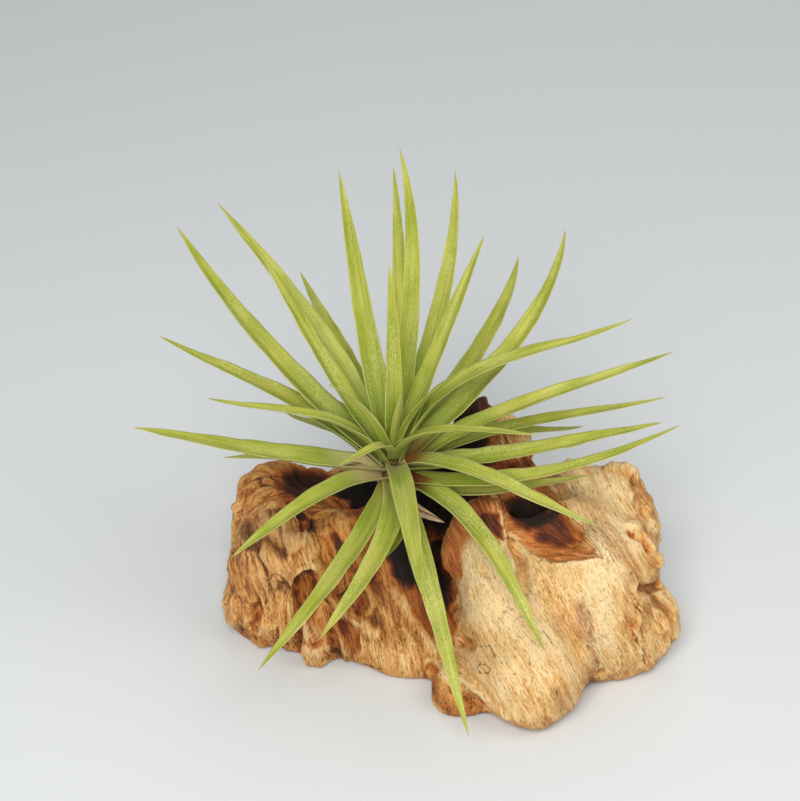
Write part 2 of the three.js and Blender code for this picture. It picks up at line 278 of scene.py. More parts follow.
def grid_value(cells, seed):
    """A number from -1 to 1 for each corner of the grid, always the same for the same corner."""
    mixed = np.full(len(cells), seed * SEED_SCATTER, np.uint64)
    for axis, scatter in enumerate(AXIS_SCATTER):
        mixed ^= cells[:, axis].astype(np.int64).astype(np.uint64) * scatter
    mixed ^= mixed >> np.uint64(13)
    mixed *= LAST_SCATTER
    mixed ^= mixed >> np.uint64(31)
    return (mixed & KEPT_BITS).astype(float) / (float(KEPT_BITS) / 2) - 1


def swells(points, seed=0):
    """Smooth values from -1 to 1, one for each point. A swell is about one unit across."""
    corner = np.floor(points)
    inside = points - corner
    inside = inside * inside * (3 - 2 * inside)
    total = np.zeros(len(points))
    for step in itertools.product((0, 1), repeat=3):
        share = np.prod(np.where(np.array(step) == 1, inside, 1 - inside), axis=1)
        total += share * grid_value(corner + step, seed)
    return total


def rough_swells(points, layers=4, seed=0):
    """Swells with finer and weaker ones laid over them."""
    finer = [points * LAYER_FINENESS**n + LAYER_SHIFT * n for n in range(layers)]
    return sum(swells(places, seed + n) * 0.5**n for n, places in enumerate(finer)) / 1.5


def drift(noise, places, seed, ways=3, **settings):
    """A value from -1 to 1 for each place and for each way it may drift."""
    return np.stack([noise(places, seed=seed + n, **settings) for n in range(ways)], axis=1)


def soft_step(value, low, high):
    """0 up to low, 1 from high, and a soft slope between."""
    share = np.clip((value - low) / (high - low), 0, 1)
    return share * share * (3 - 2 * share)


print("noise at three points:", np.round(swells(np.array([[0.5, 0, 0], [3.2, 1, 4], [9.1, 2, 6]])), 2))

# %% [markdown]
# ## Leaves: the lines they follow
# A leaf of this plant starts as a clasping sheath on the short stem, arches out and runs to a long thin
# point. One row of numbers gives each leaf: the direction of its tip, how far it reaches, how it bows, how
# wide it is and how it rolls. They are the same rows that the CAD solids are built from, so each blade lies
# exactly where its solid is. A scan or a spline drawn by hand would also do, but rows are easy to read.

# %% One row of numbers for each leaf, as in the CAD
# Azimuth and rise of the tip seen from the heart, reach, arch, sway, lead, width, roll; degrees and mm.
YOUNG_LEAVES = [
    [281, 67, 52, 2, 0, 0.8, 4.5, 0],
    [304, 48, 36, 2, -2, 0.4, 4.5, 0],
    [98, 83, 96, 8, 0, -0.4, 8.5, 0],
    [226, 55, 70, 5, -3, 0, 7.5, 0],
    [333, 58, 69, 6, 2, 0.4, 7.5, 0],
    [239, 26, 51, 8, 4, 0.4, 6.5, 0],
    [325, 28, 88, 13, -9, 0.4, 7.5, 0],
]
ADULT_LEAVES = [
    [45, 58, 110, 4, -3, -0.4, 10.5, 0],
    [148, 51, 113, 4, 7, 0.4, 11, 0],
    [88, 54, 144, 8, -7, -0.4, 10, 0],
    [277, -1, 103, 7, 0, 0.8, 11, 0],
    [106, 48, 138, 4, 2, 0.8, 11, 0],
    [324, 4, 111, 8, -1, 0.8, 11, 0],
    [196, 29, 97, 9, -1, 0.8, 9, 0],
    [6, 32, 127, 14, 6, 0.8, 10.5, 0],
    [75, 39, 147, 3, -7, -0.4, 10, 0],
    [144, 33, 149, 2, 10, 0, 13, 0],
    [193, 16, 122, -3, -1, 0.4, 15, 0],
    [0, 9, 124, -2, -2, 0.4, 14, 0],
    [47, 31, 140, 2, -15, -0.4, 12, 0],
    [132, 34, 150, 14, 2, 0.4, 11, 0],
    [90, 35, 152, 9, -3, 0, 9, 0],
    [155, 16, 126, 6, 0, 0.8, 12, 0],
    [15, 15, 139, 6, 0, 0.8, 12, 0],
    [62, 18, 138, 5, -9, -0.4, 11, 0],
]
OLD_LEAVES = [
    [22, 0, 141, 3, 5, 0.8, 10.5, 0],
    [251, -19, 102, 3, 10, 0.4, 11, 0],
    [223, -5, 96, 9, 0, 0.4, 11.5, 0],
    [309, -24, 116, 13, 5, 0.4, 11, 0],
    [30, -9, 107, 6, 6, 0.8, 11, 0],
    [110, 11, 140, 8, 0, 0.8, 10.5, 0],
    [352, 13, 133, -4, -13, 0, 11.5, 0],
    [288, -36, 133, 16, -3, 0.8, 10.5, 0],
    [236, -27, 118, 1, 5, 0.4, 10.5, 0],
    [98, 12, 108, 8, 0, 0.4, 10, 0],
    [66, -5, 110, 8, 0, 0.4, 10, 0],
    [124, -15, 98, 8, 0, 0.8, 10, 0],
    [3, -8, 92, -3, -5, 0.4, 10, 0],
    [154, -16, 94, 6, 0, 0.4, 10, 0],
    [84, -10, 118, 10, 0, 0.4, 10, 0],
    [260, -45, 48, 0, 6, 0, 10, 0],
    [112, -14, 118, 10, 0, 0.4, 10, 0],
    [68, -14, 105, 10, 0, 0.4, 10, 0],
]
DRY_LEAVES = [
    [318, -34, 38, 5, -8, 0.4, 6.5, 50],
    [236, -50, 26, -3, 6, 0.4, 5.5, -30],
    [205, 4, 30, 5, -6, 0.4, 5.5, 60],
]
ROWS = [*YOUNG_LEAVES, *ADULT_LEAVES, *OLD_LEAVES, *DRY_LEAVES]
KINDS = {"young_leaf": YOUNG_LEAVES, "leaf": ADULT_LEAVES, "old_leaf": OLD_LEAVES, "dry_leaf": DRY_LEAVES}
HEART = np.array([0, 0, 100.0])
ROOT_RADIUS = 3
YOUNGEST_ROOT, OLDEST_ROOT = 4, -17  # how high above the heart the first and the last leaf leave the stem
print("leaves:", len(ROWS))


# %% The line along the middle of a leaf
def leaf_path(row, age):
    """The four control points of a leaf's middle line, in mm, and the direction across it."""
    azimuth, rise, reach, arch, sway, lead = row[:6]
    turn, lift = math.radians(azimuth), math.radians(rise)
    outward = np.array([math.cos(turn), math.sin(turn), 0])
    side = np.array([-math.sin(turn), math.cos(turn), 0])
    square = outward * -math.sin(lift) + np.array([0, 0, math.cos(lift)])
    tip = HEART + outward * reach * math.cos(lift) + np.array([0, 0, reach * math.sin(lift)])
    root = HEART + outward * ROOT_RADIUS * math.cos(lift)
    root[2] += YOUNGEST_ROOT + (OLDEST_ROOT - YOUNGEST_ROOT) * age
    bow = (square * arch + side * sway) * 4 / 3
    near_root = root + (tip - root) / 3 + bow * (1 + lead)
    near_tip = root + (tip - root) * 2 / 3 + bow * (1 - lead)
    return (root, near_root, near_tip, tip), side


def unit(vectors):
    return vectors / np.linalg.norm(vectors, axis=1, keepdims=True)


def leaf_frame(row, age, along):
    """Where the middle line is at each share along it, which way is across the leaf and which way is up."""
    (a, b, c, d), side = leaf_path(row, age)
    t = along[:, None]
    place = (1 - t) ** 3 * a + 3 * (1 - t) ** 2 * t * b + 3 * (1 - t) * t * t * c + t**3 * d
    ahead = unit((1 - t) ** 2 * (b - a) + 2 * (1 - t) * t * (c - b) + t * t * (d - c))
    across = unit(side - ahead * (ahead @ side)[:, None])
    roll = np.radians(row[7]) * t
    across = across * np.cos(roll) + np.cross(ahead, across) * np.sin(roll)
    return place, across, np.cross(ahead, across)


tips = np.array([leaf_frame(row, 0.5, np.array([1.0]))[0][0] for row in ROWS])
print("tips reach from", np.round(tips.min(0)), "to", np.round(tips.max(0)), "mm")

# %% [markdown]
# ## Leaves: the blades
# Cut across, a blade is a shallow channel: about 1 mm thick along the fold and a thin skin at the margins,
# which ripple a little. A box stretched along a curve would look like ribbon, so the blade is laid out
# point by point: rings of points along the line, closed at both ends. Each point also keeps where it is
# on its leaf, so that the shader can paint veins lengthwise however the leaf bends.

# %% A blade as rings of points
RINGS = 64
POINTS_ACROSS = 13
CROWDING = 1.3  # how much closer the rings stand towards the tip
FOOT_WIDTH, WIDEST_AT = 0.85, 0.28  # share of the full width, and share of the length where it is reached
FOLD_THICKNESS, MARGIN_THICKNESS = 1.0, 0.34
NARROWEST = 0.3
CHANNEL_DEPTH, CHANNEL_LOSS = 0.34, 0.16  # share of the width, and what the tip loses of it
RIPPLE, MOST_RIPPLE = 0.16, 0.6  # of half the width, and in mm
RIPPLE_LENGTH = 9  # in mm
WIDTH_CHANGE = 0.03
LEAF_SPACING = 7.3  # keeps the places of two leaves apart in the shader's noise


def taper(along):
    """Width as a share of the widest: fullest in the lower third, then a long run to the tip."""
    body = FOOT_WIDTH + (1 - FOOT_WIDTH) * soft_step(along, 0, WIDEST_AT)
    return body * (1 - along**2.4) ** 0.85


def blade_rings(row, age, number):
    """Points of a blade, ring by ring, in mm, with the numbers that its shader needs."""
    along = 1 - (1 - np.linspace(0, 1, RINGS)) ** CROWDING
    place, across, up = leaf_frame(row, age, along)
    half = np.maximum(row[6] * taper(along), NARROWEST)[:, None] / 2
    spread = np.linspace(-1, 1, POINTS_ACROSS)[None, :]
    # A small softness folds the blade sharply down its middle, and a large one rounds the channel.
    softness = 0.3 + 0.25 * grid_value(np.array([[number, 3, 1]]), 5)[0]
    fold = (np.sqrt(spread**2 + softness**2) - softness) / (math.sqrt(1 + softness**2) - softness)
    depth = half * 2 * (CHANNEL_DEPTH - CHANNEL_LOSS * along[:, None])
    lines = np.stack([along * row[2] / RIPPLE_LENGTH, np.full(RINGS, number * 3.1), np.zeros(RINGS)], axis=1)
    left, right = swells(lines, 1)[:, None], swells(lines + 40, 2)[:, None]
    ripple = np.where(spread < 0, left, right) * np.abs(spread) ** 3
    height = (fold - 0.5) * depth + ripple * np.minimum(half * RIPPLE, MOST_RIPPLE)
    fold_thickness = FOLD_THICKNESS * (1 - 0.5 * along[:, None])
    skin = MARGIN_THICKNESS + (fold_thickness - MARGIN_THICKNESS) * (1 - spread**2)
    skin = np.minimum(skin, half * 0.9)
    sideways = spread * half * (1 + WIDTH_CHANGE * swells(lines * 1.7 + 80, 3)[:, None])

    def sheet(lift):
        """The blade's middle sheet, raised or lowered."""
        middle = place[:, None] + across[:, None] * sideways[..., None]
        return middle + up[:, None] * (height + lift)[..., None]

    points = np.concatenate([sheet(skin / 2), sheet(-skin / 2)[:, ::-1]], axis=1)
    length = np.concatenate([[0], np.cumsum(np.linalg.norm(np.diff(place, axis=0), axis=1))])[:, None]
    flipped = np.concatenate([sideways, sideways[:, ::-1]], axis=1)
    share = np.concatenate([spread, spread[:, ::-1]], axis=1)
    under = np.repeat([0.0, 1.0], POINTS_ACROSS)[None, :]
    full = np.ones_like(flipped)
    where = np.stack([length * full, flipped, number * LEAF_SPACING * full], axis=2)
    on_leaf = np.stack([along[:, None] * full, np.abs(share) * full, under * full], axis=2)
    return points, where, on_leaf


def ring_faces(rings, around):
    """Quads between rings of points, and a flat face to close each end."""
    ring, k = np.meshgrid(np.arange(rings - 1), np.arange(around), indexing="ij")
    a = (ring * around + k).ravel()
    b = (ring * around + (k + 1) % around).ravel()
    sides = np.stack([a, a + around, b + around, b], axis=1).tolist()
    last = rings * around - 1
    return [*sides, list(range(around)), list(range(last, last - around, -1))]


def keep(mesh, labelled):
    """Stores three numbers at each point of a mesh under each label, where the shader finds them."""
    for label, numbers in labelled.items():
        stored = mesh.attributes.new(label, "FLOAT_VECTOR", "POINT")
        stored.data.foreach_set("vector", numbers.astype(np.float32).ravel())


def mesh_piece(name, points, faces, paint, labelled):
    """A smooth piece from points in mm, with what each point keeps for the shader."""
    mesh = bpy.data.meshes.new(name)
    mesh.from_pydata((points * MM).tolist(), [], faces)
    mesh.validate()
    mesh.shade_smooth()
    keep(mesh, labelled)
    mesh.materials.append(paint.material)
    piece = bpy.data.objects.new(name, mesh)
    bpy.context.scene.collection.objects.link(piece)
    return piece


print("a blade has", RINGS * POINTS_ACROSS * 2, "points")

# %% [markdown]
# ## Leaves: their skin
# The leaf is a matte yellow green under a bloom of tiny silvery scales, which is denser along the margins
# and on the underside. Fine veins run its whole length. Near the heart the green is fresh and dark, and the
# foot of each blade's upper side gets a painted olive shade where the leaves crowd together; older leaves go
# beige or rusty where they leave the stem, and the last millimetres of a tip are dry. All of it is painted
# from the place on the leaf, so no picture has to be wrapped round it.

# %% The living green
FRESH_GREEN = colour(104, 137, 4)
LEAF_GREEN = colour(143, 152, 26)
PALE_GREEN = colour(179, 178, 74)
BLOOM = colour(214, 211, 140)
BEIGE = colour(196, 178, 132)
RUST = colour(104, 54, 20)
OLIVE_FOOT_SHADE = colour(104, 98, 26)
VEIN_GREEN = colour(138, 150, 40)
DRY_TIP = colour(176, 150, 104)

leaf_paint = Paint("leaf skin")
*_, leaf_vector = leaf_paint.kept("where")
share_along, share_across, underside, _ = leaf_paint.kept("on_leaf")
age_tone, beige_base, rust_base, _ = leaf_paint.kept("tone")


def along_leaf(paint, vector, lengthwise, crosswise, **settings):
    """Noise stretched along a leaf: how many swells fit in a mm lengthwise and crosswise."""
    return paint.uneven(paint.scaled(vector, (lengthwise, crosswise, 1)), **settings)


veins = along_leaf(leaf_paint, leaf_vector, 0.02, 2.6, detail=1)
broad_veins = along_leaf(leaf_paint, leaf_vector, 0.008, 0.6, detail=1)
clouds = along_leaf(leaf_paint, leaf_vector, 0.05, 0.12, detail=2)
scales = along_leaf(leaf_paint, leaf_vector, 1.6, 3.2, detail=2, roughness=0.75)
dusty = along_leaf(leaf_paint, leaf_vector, 0.035, 0.2).rise(0.38, 0.66)

green = leaf_paint.blend(clouds.rise(0.3, 0.75), LEAF_GREEN, PALE_GREEN)
heart_glow = (1 - share_along.rise(0.1, 0.55)) * (1 - underside * 0.3) * (1 - age_tone * 0.4)
green = leaf_paint.blend(heart_glow * 0.75, green, FRESH_GREEN)
green = leaf_paint.shade((1 - veins.rise(0.32, 0.6)) * 0.42, green, VEIN_GREEN)
# Painted shade in olive at the foot of each blade's upper side, where the leaves crowd round the heart; less
# towards the margins.
painted_foot_shade = (1 - share_along.rise(0.0, 0.26)) * (1 - share_across.rise(0.3, 1.0) * 0.6) * (1 - underside)
green = leaf_paint.blend(painted_foot_shade * 0.3, green, OLIVE_FOOT_SHADE)
green = leaf_paint.blend(broad_veins.rise(0.52, 0.7) * 0.2, green, PALE_GREEN)
margin = share_across.rise(0.84, 0.98) * (0.2 + dusty * 0.3)
dust = scales.rise(0.42, 0.66) * (0.16 + dusty * 0.5 + underside * 0.2 + age_tone * 0.1)
dust = dust * (0.35 + share_along.rise(0.05, 0.4) * 0.65)
green = leaf_paint.blend(dust.most(margin), green, BLOOM)
print("green, veins and bloom:", len(leaf_paint.tree.nodes), "nodes")

# %% Beige and rusty feet, dry tips, and how the skin shines
stain_edge = clouds * 0.5 + share_along * 3.2
green = leaf_paint.blend((1 - stain_edge.rise(0.35, 1.15)) * beige_base, green, BEIGE)
green = leaf_paint.blend((1 - stain_edge.rise(0.42, 0.88)) * rust_base, green, RUST)
green = leaf_paint.blend((share_along + clouds * 0.03).rise(0.975, 1.01) * 0.7, green, DRY_TIP)
leaf_paint.surface(
    Base_Color=green,
    Roughness=0.5 + scales * 0.22,
    Specular_IOR_Level=0.28,
    Sheen_Weight=0.04,
    Sheen_Roughness=0.4,
    Subsurface_Weight=0.12,
    Subsurface_Scale=2 * MM,
    Subsurface_Radius=(0.6, 1.0, 0.25),
)
leaf_paint.relief(veins * 0.7 + scales * 0.3, depth=0.25 * MM, strength=0.55)
print("green leaf skin:", len(leaf_paint.tree.nodes), "nodes")

# %% [markdown]
# Withered leaves lose the green and the bloom. What stays is a papery tan skin with grey streaks, darker
# where it still clasps the stem. The same lengthwise veins stand out more, because the soft tissue between
# them has shrunk.

# %% The withered brown
SHRUNKEN_BROWN = colour(112, 84, 58)
PAPERY_TAN = colour(186, 164, 128)
STREAK_GREY = colour(204, 192, 166)
CLASPING_BROWN = colour(64, 42, 26)

dry_paint = Paint("withered leaf")
*_, dry_vector = dry_paint.kept("where")
dry_share, *_ = dry_paint.kept("on_leaf")
dry_veins = along_leaf(dry_paint, dry_vector, 0.06, 1.8)
dry_blotches = along_leaf(dry_paint, dry_vector, 0.2, 0.4)
papery = dry_paint.blend(dry_veins.rise(0.35, 0.65), SHRUNKEN_BROWN, PAPERY_TAN)
papery = dry_paint.blend(dry_blotches.rise(0.5, 0.7) * 0.6, papery, STREAK_GREY)
papery = dry_paint.blend((1 - dry_share.rise(0.0, 0.3)) * 0.6, papery, CLASPING_BROWN)
dry_paint.surface(Base_Color=papery, Roughness=0.85, Specular_IOR_Level=0.2)
dry_paint.relief(dry_veins, depth=0.4 * MM, strength=0.8)
print("withered skin:", len(dry_paint.tree.nodes), "nodes")

# %% [markdown]
# ## Leaves: each in its place
# Every blade now takes the place of its solid. The ones that the photograph shows with a beige or
# rusty foot get that as a number of their own; in the rest the foot only turns with age.

# %% All the blades
BEIGE_FEET = {"old_leaf_03": 1.0, "leaf_11": 0.8, "leaf_06": 0.3, "old_leaf_02": 0.3, "leaf_04": 0.35}
RUSTY_FEET = {"old_leaf_04": 1.0, "leaf_06": 0.9, "leaf_17": 0.7, "leaf_13": 0.7, "leaf_03": 0.7}
RUSTY_FEET["old_leaf_01"] = 0.6
BEIGE_WITH_AGE, RUST_WITH_AGE = 0.12, 0.25


def dress_leaf(node, row, number):
    """A blade in the place of one leaf's solid."""
    age = number / (len(ROWS) - 1)
    points, where, on_leaf = blade_rings(row, age, number)
    beige = BEIGE_FEET.get(node, BEIGE_WITH_AGE * age)
    rust = RUSTY_FEET.get(node, RUST_WITH_AGE * age)
    tone = np.tile([age, beige, rust], (RINGS * POINTS_ACROSS * 2, 1))
    labelled = {"where": where.reshape(-1, 3), "on_leaf": on_leaf.reshape(-1, 3), "tone": tone}
    kind = node.rsplit("_", 1)[0]
    paint = dry_paint if kind == "dry_leaf" else leaf_paint
    faces = ring_faces(RINGS, POINTS_ACROSS * 2)
    piece = mesh_piece(node + "_blade", points.reshape(-1, 3), faces, paint, labelled)
    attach(piece, "root")
    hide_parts(node)
    return piece


blades = []
for kind, rows in KINDS.items():
    for n, row in enumerate(rows):
        blades.append(dress_leaf(f"{kind}_{n + 1:02d}", row, len(blades)))
print("blades:", len(blades), "with", sum(len(b.data.polygons) for b in blades), "faces")

# %% [markdown]
# ## Wood: a fine skin on the rough solid
# The solid of the driftwood is a lump of flat facets. A voxel remesh lays an even net of small squares
# over it, and smoothing melts the facets away without moving the lump. The net is fine enough to be pushed
# in and out by a fraction of a millimetre, which is how the fibres and cracks are carved.

# %% The wood as an even net of points
NET = 0.7 * MM
MELT_ROUNDS = 90
EVENING = 0.6  # how much of a neighbour's number each round of evening out takes over


def applied(piece):
    """The mesh of a piece with its modifiers worked in."""
    return bpy.data.meshes.new_from_object(piece.evaluated_get(bpy.context.evaluated_depsgraph_get()))


rough = bpy.data.objects.new("wood_in_work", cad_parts["driftwood"].data.copy())
bpy.context.scene.collection.objects.link(rough)
remesh = rough.modifiers.new("net", "REMESH")
remesh.mode, remesh.voxel_size = "VOXEL", NET
melt = rough.modifiers.new("melt", "SMOOTH")
melt.iterations = MELT_ROUNDS
wood_mesh = applied(rough)
bpy.data.objects.remove(rough)


def numbers_of(items, label, columns=3, kind=float):
    """One row of numbers for each point, normal or edge of a mesh."""
    numbers = np.empty(len(items) * columns, kind)
    items.foreach_get(label, numbers)
    return numbers.reshape(-1, columns)


edges = numbers_of(wood_mesh.edges, "vertices", 2, np.int32)
neighbours = np.bincount(edges.ravel(), minlength=len(wood_mesh.vertices))


def evened(numbers, rounds):
    """Numbers on the wood's points, averaged with their neighbours' a few times."""
    for _ in range(rounds):
        total = np.zeros_like(numbers)
        for axis in range(numbers.shape[1]):
            total[:, axis] = np.bincount(edges[:, 0], numbers[edges[:, 1], axis], len(numbers))
            total[:, axis] += np.bincount(edges[:, 1], numbers[edges[:, 0], axis], len(numbers))
        numbers = numbers * (1 - EVENING) + total / neighbours[:, None] * EVENING
    return numbers


print("wood net:", len(wood_mesh.vertices), "points,", len(wood_mesh.polygons), "faces")

# %% [markdown]
# ## Wood: which way the grain runs
# At the back the fibres of this root fan out from the hollow, over the edge and down the outside. In front
# they run straight down the picture, a little to the right, and in the right half more so. They flow round
# knots, and slow noise bends them, so that no fibre is ruler straight. Each point gets a place in the wood's
# own terms: two numbers say which fibre it is on, and one how far along that fibre.

# %% Grain coordinates
FAN_CENTRE = np.array([5.0, 20.0])
FAN_RADIUS = 60.0
LEAST_DISTANCE = 6
KNOTS = [[(-12, -40, 22), 14], [(-58, -20, 40), 16], [(118, -34, 44), 16]]
KNOT_PULL = 0.3
BEND, BEND_LENGTH = 3.5, 34
FRONT_TO_BACK, LEFT_TO_RIGHT = (4, 30), (20, 44)  # where one way of running goes over into the next, in mm


def running(right, down, layering):
    """Three directions: across the fibres, through their layers and along them, seen in the picture."""
    across = np.array(PICTURE_RIGHT * down + PICTURE_UP * right)
    along = np.array(PICTURE_RIGHT * right - PICTURE_UP * down)
    return np.column_stack([across, np.array(TOWARD_CAMERA) * layering, along])


# The last number: how much one layer of fibres differs from the next below it.
FRONT_LEFT_FIBRES = running(0.26, 0.966, 0.24)
RIGHT_FIBRES = running(0.5, 0.866, 0.06)


def grain_places(points):
    """Two numbers that name the fibre and one for the place along it, in mm."""
    bent = points + BEND * drift(swells, points / BEND_LENGTH, 11)
    for centre, size in KNOTS:
        away = bent - np.array(centre)
        near = np.exp(-((away**2).sum(1)) / size**2)
        bent = bent - away * (KNOT_PULL * near)[:, None]
    flat = bent[:, :2] - FAN_CENTRE
    distance = np.maximum(np.linalg.norm(flat, axis=1), LEAST_DISTANCE)
    fanned = np.column_stack([flat / distance[:, None] * FAN_RADIUS, distance - bent[:, 2]])
    to_back = soft_step(points[:, 1], *FRONT_TO_BACK)[:, None]
    left = bent @ FRONT_LEFT_FIBRES * (1 - to_back) + fanned * to_back
    to_right = soft_step(points[:, 0], *LEFT_TO_RIGHT)[:, None]
    return left * (1 - to_right) + bent @ RIGHT_FIBRES * to_right


wood_points = numbers_of(wood_mesh.vertices, "co") / MM
grain = grain_places(wood_points)
print("fibres run over", np.round(grain[:, 2].min()), "to", np.round(grain[:, 2].max()), "mm")

# %% [markdown]
# ## Wood: marks that the photograph shows
# The front of the wood has marks of its own: knobs and hollows, long cracks, a swirl, burnt edges, grey
# speckled streaks. Each is noted as a short path of pixels. A line of sight through each pixel meets the
# wood at one place, and the mark is laid on the surface round the path that joins those places. It belongs
# to the wood from then on, and looks right from any side.

# %% Marks laid on the wood along lines of sight
wood_faces = [tuple(face.vertices) for face in wood_mesh.polygons]
wood_tree = BVHTree.FromPolygons([tuple(place) for place in wood_points * MM], wood_faces)
FAR_AWAY = 999.0
EDGE_SWELL = 5  # how long a waver in the edge of a mark is, in mm
print("lines of sight can meet", len(wood_faces), "faces")


def places_met(path):
    """Where the lines of sight through pixels meet the wood, in mm, without those that miss it."""
    hits = [wood_tree.ray_cast(camera.location, sight(x, y))[0] for x, y in path]
    return [np.array(place) / MM for place in hits if place is not None]


def away_from_line(points, start, end):
    """How far each point is from the straight line between two others."""
    run = end - start
    share = np.clip((points - start) @ run / max(run @ run, 1e-9), 0, 1)
    return np.linalg.norm(points - start - share[:, None] * run, axis=1)


def distance_from(path, points):
    """How far each point is from a path of pixels laid on the wood, in mm."""
    stops = places_met(path)
    away = np.full(len(points), FAR_AWAY)
    for start, end in zip(stops, stops[1:] or stops):
        away = np.minimum(away, away_from_line(points, start, end))
    return away


def laid(marks, unevenness, points):
    """Marks of one kind: their strength along their paths, falling softly to 0 at their widths."""
    ragged = unevenness * rough_swells(points / EDGE_SWELL, 4, 21)
    total = np.zeros(len(points))
    for path, width, strength in marks:
        away = distance_from(path, points) + ragged * min(width / 8, 1)
        total = np.maximum(total, strength * (1 - soft_step(away, 0.2 * width, width)))
    return total


# %% [markdown]
# Larger marks have an outline of pixels. Turned round, the camera's sums say at which pixel a point of the
# wood would show, and so whether it lies inside. A point far from where the outline's lines of sight meet
# the wood, such as one on the back, doesn't get the mark.

# %% Patches inside an outline
PATCH_WANDER = 2.2  # how far the edge of a patch wanders, in pixels
PATCH_REACH = (18, 28)  # how far from the places met a patch starts to fade and ends, in mm


def seen_at(points):
    """The pixel of the photograph at which each point would show."""
    away = points * MM - np.array(AIM)
    nearer = DISTANCE / (DISTANCE - away @ np.array(TOWARD_CAMERA)) / PIXEL
    x = PHOTO_WIDTH / 2 + away @ np.array(PICTURE_RIGHT) * nearer
    return np.column_stack([x, PHOTO_HEIGHT / 2 - away @ np.array(PICTURE_UP) * nearer])


def depth_in_outline(outline, pixels):
    """How many pixels inside a closed outline each pixel is; outside is negative."""
    corners = np.array(outline, float)
    away = np.full(len(pixels), FAR_AWAY)
    crossings = np.zeros(len(pixels), int)
    for start, end in zip(corners, np.roll(corners, -1, axis=0)):
        run = end - start
        away = np.minimum(away, away_from_line(pixels, start, end))
        level = (start[1] > pixels[:, 1]) != (end[1] > pixels[:, 1])
        meets = start[0] + (pixels[:, 1] - start[1]) / (run[1] or 1e-9) * run[0]
        crossings += level & (pixels[:, 0] < meets)
    return np.where(crossings % 2 == 1, away, -away)


def patches(marks, points):
    """Outlined patches on the wood that faces the camera: their strength inside, soft at the edge."""
    pixels = seen_at(points) + PATCH_WANDER * drift(rough_swells, points / EDGE_SWELL, 71, ways=2)
    total = np.zeros(len(points))
    for outline, edge, strength in marks:
        away = np.min([np.linalg.norm(points - place, axis=1) for place in places_met(outline)], axis=0)
        share = soft_step(depth_in_outline(outline, pixels), -edge, edge)
        share *= 1 - soft_step(away, *PATCH_REACH)
        total = np.maximum(total, strength * share)
    return total


print("middle of the picture:", np.round(seen_at(np.array([AIM]) / MM)[0]))

# %% [markdown]
# The pocket on the right is splintered: its fibres run together at its lower tip. So inside its outline the
# number that names the fibre is the direction seen from the tip, and the place along it is the distance.

# %% The grain inside the burnt pocket
POCKET = [
    (499, 490), (548, 484), (566, 506), (584, 530), (602, 557),
    (574, 562), (550, 564), (528, 550), (506, 528),
]
POCKET_TIP = (606, 560)
FIBRES_PER_TURN = 76
POCKET_LAYER = 500.0
to_tip = (seen_at(wood_points) - POCKET_TIP) * PIXEL / MM
turn = np.arctan2(to_tip[:, 1], to_tip[:, 0] + 1e-6) % (2 * math.pi) / (2 * math.pi)
converging = [turn * FIBRES_PER_TURN, np.full(len(grain), POCKET_LAYER), np.linalg.norm(to_tip, axis=1)]
in_pocket = (patches([[POCKET, 2, 1.0]], wood_points) > 0.5)[:, None]
grain = grain * (1 - in_pocket) + np.column_stack(converging) * in_pocket
print("points in the pocket:", int(in_pocket.sum()))

# %% [markdown]
# Now the marks themselves, read off the photograph one by one: what is dug out of the wood, what stands up
# from it, and the finest cracks, which have a path only.

# %% What is dug out and what stands up
VALLEY = [(292, 508), (300, 520), (310, 531)]  # between the left lobe and the ridge
SLOT = [(305, 577), (305, 592), (308, 606)]  # under the arched rim
# Each row: a path of pixels, how far the mark reaches from it and how deep it goes, in mm.
DUG = [
    [VALLEY, 5, 3],
    [SLOT, 7, 7],
    [[(283, 476), (300, 480), (322, 476)], 12, 5],
    [[(257, 608), (256, 624), (257, 644)], 4, 4],
    [[(300, 612), (298, 630), (302, 650)], 4, 4],  # beside the stub
    [[(330, 632), (333, 642), (336, 654)], 4, 4],
    [[(342, 622), (350, 636), (354, 646)], 5, 3.5],  # under the twisted strand
    [[(352, 592), (360, 600), (358, 612)], 7, 3.5],  # the swirl
    [[(503, 512), (508, 530), (516, 548), (522, 570), (524, 590)], 4.5, 3.5],  # right of the front knob
    [[(631, 534), (640, 539), (647, 548)], 4.5, 4],  # behind the hanging knot
    [[(640, 588), (650, 587), (660, 585)], 4, 4.5],
    [[(432, 668), (456, 688), (484, 704), (508, 722)], 4, 4],  # under the front lobe's edge
    [[(461, 641), (474, 645)], 4, 2.5],
    [[(232, 586), (228, 604)], 5, 2],
    [[(243, 517), (240, 528)], 6, 2.5],
    [[(390, 678), (412, 682), (432, 684)], 4, 2],
    [[(446, 552), (441, 576), (446, 606)], 8, 2.5],
    [[(600, 672), (600, 682), (598, 690)], 4, 2],
    [[(575, 540), (560, 524), (545, 512)], 10, 2.5],
    [[(530, 500), (556, 518), (590, 550)], 3.5, 1.8],  # splintered grooves in the burnt pocket
    [[(512, 516), (540, 538), (580, 558)], 3, 1.5],
]
